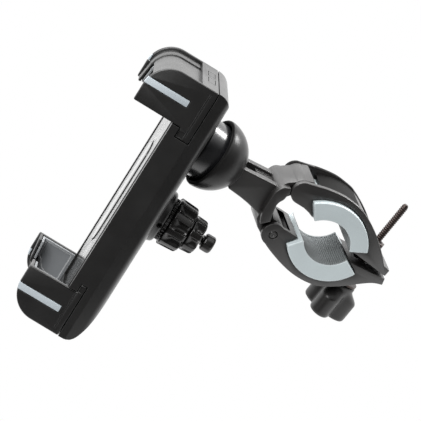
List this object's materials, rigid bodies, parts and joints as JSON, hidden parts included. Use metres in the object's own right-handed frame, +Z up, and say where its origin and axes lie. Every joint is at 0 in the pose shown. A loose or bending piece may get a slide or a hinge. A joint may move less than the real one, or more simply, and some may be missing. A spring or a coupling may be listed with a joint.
{
  "type": "handlebar phone mount",
  "caption": "Bicycle phone mount: rack-and-pinion cradle with clawed jaws and a rear knob stack, on a ball joint and a two-arm bolted handlebar clamp.",
  "frame": {"origin": "middle of the phone-support face of the cradle, on the flat raised panel of the grip pad", "axes": "+Y runs along the handlebar bore, +Z is up and +X points from the phone towards the handlebar; the cradle is tilted and turned on its ball joint at rest"},
  "size_m": [0.1738, 0.0828, 0.1348],
  "materials": {
    "housing_black": "fine-textured moulded plastic",
    "plate_black": "smooth moulded plastic",
    "pad_rubber": "fine diagonal ribs",
    "liner_grey": "soft rubber liner",
    "stripe_grey": "soft rubber strip",
    "nylon_white": "unfilled nylon",
    "knob_black": "semi-gloss moulded plastic",
    "steel": "turned steel",
    "dark_steel": "blackened thread",
    "collar_satin": "satin moulded plastic",
    "clamp_black": "fine-textured moulded plastic",
    "clamp_rubber": "grooved grip face"
  },
  "bodies": {
    "clamp_base": {"swivel_arm": "clamp_black", "upper_hinge_pin": "knob_black", "lower_hinge_pin": "knob_black", "collar_seal": "knob_black"},
    "collar": {"collar_nut": "collar_satin"},
    "upper_arm": {"upper_clamp_arm": "clamp_black", "upper_rubber": "clamp_rubber", "clamp_nut": "dark_steel"},
    "lower_arm": {"lower_clamp_arm": "clamp_black", "lower_rubber": "clamp_rubber"},
    "bolt": {"clamp_bolt": "dark_steel"},
    "wing": {"wing_knob": "knob_black", "knob_washer": "steel"},
    "ball_seat": {"seat_cup": "nylon_white"},
    "ball_slip": {"slip_ring": "nylon_white"},
    "cradle": {"rear_housing": "housing_black", "front_plate": "plate_black", "grip_pad": "pad_rubber", "ball_stud": "steel", "stud_screw": "steel", "ratchet_ring": "knob_black", "cover_screw_1": "steel", "cover_screw_2": "steel", "cover_screw_3": "steel", "cover_screw_4": "steel"},
    "spindle": {"drive_pinion": "steel", "adjust_knob": "knob_black", "knob_tip": "knob_black"},
    "lock": {"lock_knob": "knob_black"},
    "top_jaw_body": {"top_jaw": "housing_black", "top_rack": "nylon_white", "top_liner_near": "liner_grey", "top_liner_far": "liner_grey", "top_stripe_near": "stripe_grey", "top_stripe_far": "stripe_grey"},
    "bottom_jaw_body": {"bottom_jaw": "housing_black", "bottom_rack": "nylon_white", "bottom_liner_near": "liner_grey", "bottom_liner_far": "liner_grey", "bottom_stripe_near": "stripe_grey", "bottom_stripe_far": "stripe_grey"}
  },
  "joints": [
    {"name": "upper_arm_open", "type": "hinge", "parent": "clamp_base", "child": "upper_arm", "pos_m": [0.07626, -0.00116, -0.0016], "axis": [0, -1, 0], "range_deg": [0, 7]},
    {"name": "lower_arm_open", "type": "hinge", "parent": "clamp_base", "child": "lower_arm", "pos_m": [0.06346, -0.00116, -0.02039], "axis": [0, 1, 0], "range_deg": [0, 7]},
    {"name": "bolt_back_off", "type": "slide", "parent": "upper_arm", "child": "bolt", "axis": [-0.6, 0, -0.8], "range_m": [0, 0.015]},
    {"name": "wing_turn", "type": "hinge", "parent": "bolt", "child": "wing", "pos_m": [0.11221, -0.00116, -0.0325], "axis": [0.6, 0, 0.8], "continuous": true},
    {"name": "collar_turn", "type": "hinge", "parent": "clamp_base", "child": "collar", "pos_m": [0.03796, -0.00116, 0.01561], "axis": [0.7615, 0, -0.6481], "range_deg": [-60, 60]},
    {"name": "ball_swivel", "type": "hinge", "parent": "clamp_base", "child": "ball_seat", "pos_m": [0.03796, -0.00116, 0.01561], "axis": [0.7615, 0, -0.6481], "continuous": true},
    {"name": "ball_tilt", "type": "hinge", "parent": "ball_seat", "child": "ball_slip", "pos_m": [0.03796, -0.00116, 0.01561], "axis": [-0.5683, -0.4808, -0.6677], "range_deg": [-36.3, 1.7]},
    {"name": "cradle_pan", "type": "hinge", "parent": "ball_slip", "child": "cradle", "pos_m": [0.03796, -0.00116, 0.01561], "axis": [0.8198, -0.2612, -0.5096], "continuous": true},
    {"name": "knob_turn", "type": "hinge", "parent": "cradle", "child": "spindle", "pos_m": [0.02421, -0.00794, -0.01586], "axis": [0.8198, -0.2612, -0.5096], "range_deg": [0, 206.5]},
    {"name": "lock_turn", "type": "hinge", "parent": "spindle", "child": "lock", "pos_m": [0.02421, -0.00794, -0.01586], "axis": [0.8198, -0.2612, -0.5096], "range_deg": [-90, 90]},
    {"name": "top_jaw_slide", "type": "slide", "parent": "cradle", "child": "top_jaw_body", "axis": [0.5557, 0.1475, 0.8182], "range_m": [0, 0.018]},
    {"name": "bottom_jaw_slide", "type": "slide", "parent": "cradle", "child": "bottom_jaw_body", "axis": [-0.5557, -0.1475, -0.8182], "range_m": [0, 0.018]}
  ],
  "couplings": [
    {"joint": "upper_arm_open", "follows": "bolt_back_off", "rad_per_m": 8.14},
    {"joint": "lower_arm_open", "follows": "bolt_back_off", "rad_per_m": 8.14},
    {"joint": "knob_turn", "follows": "top_jaw_slide", "rad_per_m": 200},
    {"joint": "bottom_jaw_slide", "follows": "top_jaw_slide", "ratio": 1}
  ]
}
